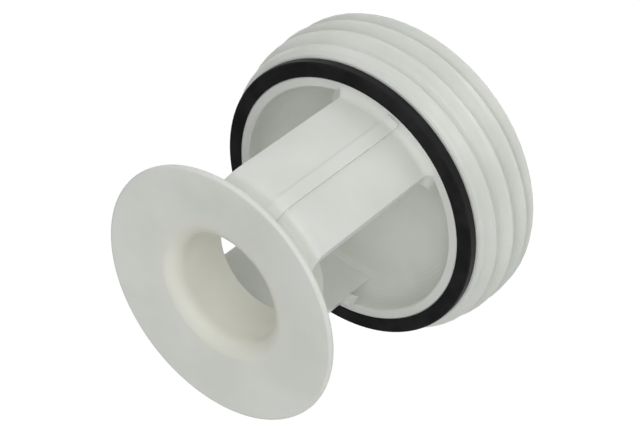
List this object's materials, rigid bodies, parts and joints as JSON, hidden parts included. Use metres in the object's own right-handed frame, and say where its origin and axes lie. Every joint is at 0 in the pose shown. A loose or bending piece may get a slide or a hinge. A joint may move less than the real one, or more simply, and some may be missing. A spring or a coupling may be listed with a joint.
{
  "type": "washing machine filter",
  "caption": "Drain pump filter: a threaded screw cap with a rubber seal, and two curved strainer walls that carry a round throat and a wide funnel.",
  "frame": {"origin": "centre of the cap's front rim, in the plane that the part stands on", "axes": "+Z along the thread's axis from the cap's front to the funnel, +Y through the middle of one strainer wall, +X through the middle of the window between the walls"},
  "size_m": [0.0694, 0.0694, 0.06],
  "materials": {
    "white_plastic": "milky polypropylene, satin",
    "black_rubber": "matt"
  },
  "bodies": {
    "root": {"filter_body": "white_plastic", "seal_ring": "black_rubber"}
  },
  "joints": []
}
